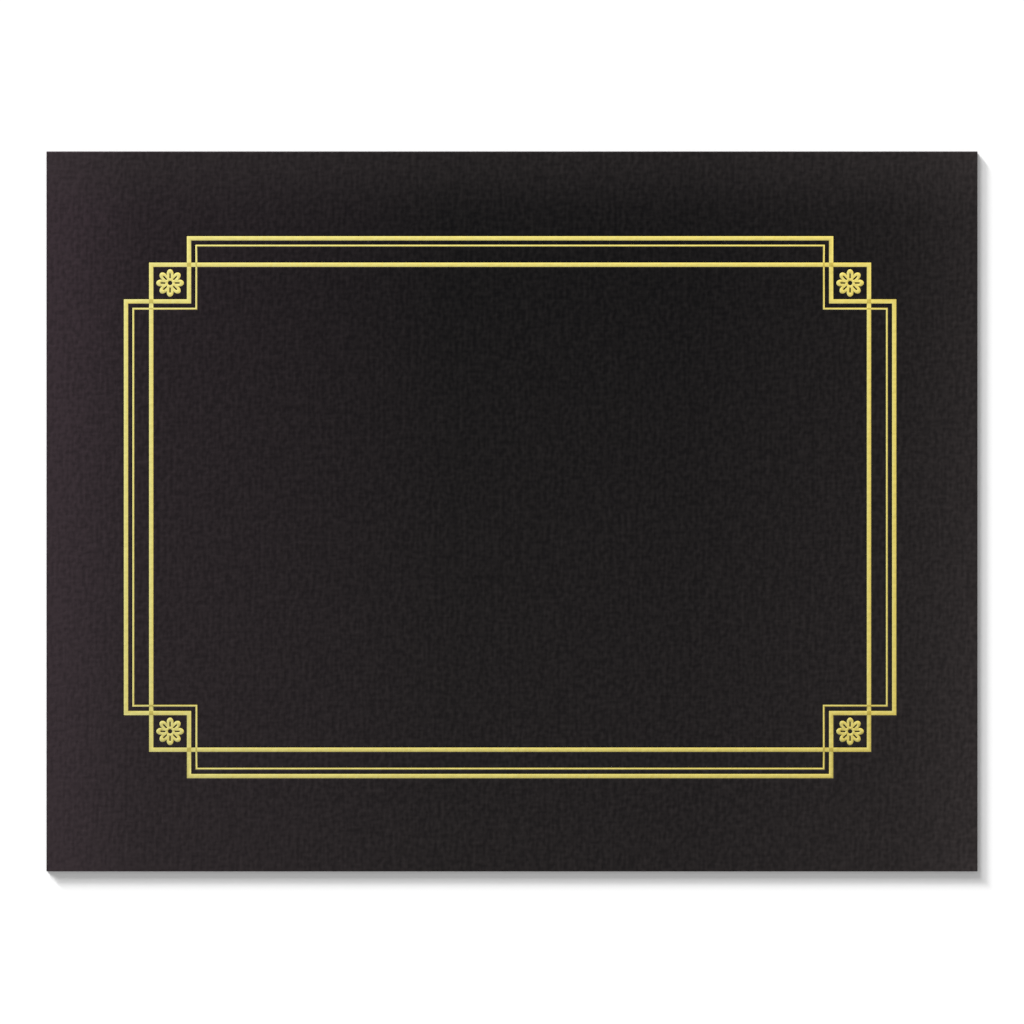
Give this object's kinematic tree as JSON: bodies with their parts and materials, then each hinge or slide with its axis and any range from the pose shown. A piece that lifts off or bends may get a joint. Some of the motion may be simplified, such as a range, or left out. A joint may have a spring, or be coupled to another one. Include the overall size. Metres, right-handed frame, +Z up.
{
  "type": "diploma cover",
  "caption": "Folded linen-finish card cover with a gold foil line border and corner rosettes, and corner slits inside that hold a certificate.",
  "frame": {"origin": "on the underside, in the middle of the closed cover", "axes": "+X to the right along the fold, +Y towards the fold, +Z up out of the front"},
  "size_m": [0.3174, 0.2456, 0.001],
  "materials": {
    "linen_card": "matte",
    "gold_foil": "satin"
  },
  "bodies": {
    "back": {"back_cover": "linen_card", "fold_back_half": "linen_card"},
    "front": {"front_cover": "linen_card", "fold_front_half": "linen_card", "foil_border": "gold_foil", "foil_rosette_top_left": "gold_foil", "foil_rosette_top_right": "gold_foil", "foil_rosette_bottom_left": "gold_foil", "foil_rosette_bottom_right": "gold_foil"}
  },
  "joints": [
    {"name": "cover_fold", "type": "hinge", "parent": "back", "child": "front", "pos_m": [0, 0.12281, 0.0005], "axis": [-1, 0, 0], "range_deg": [0, 180]}
  ]
}
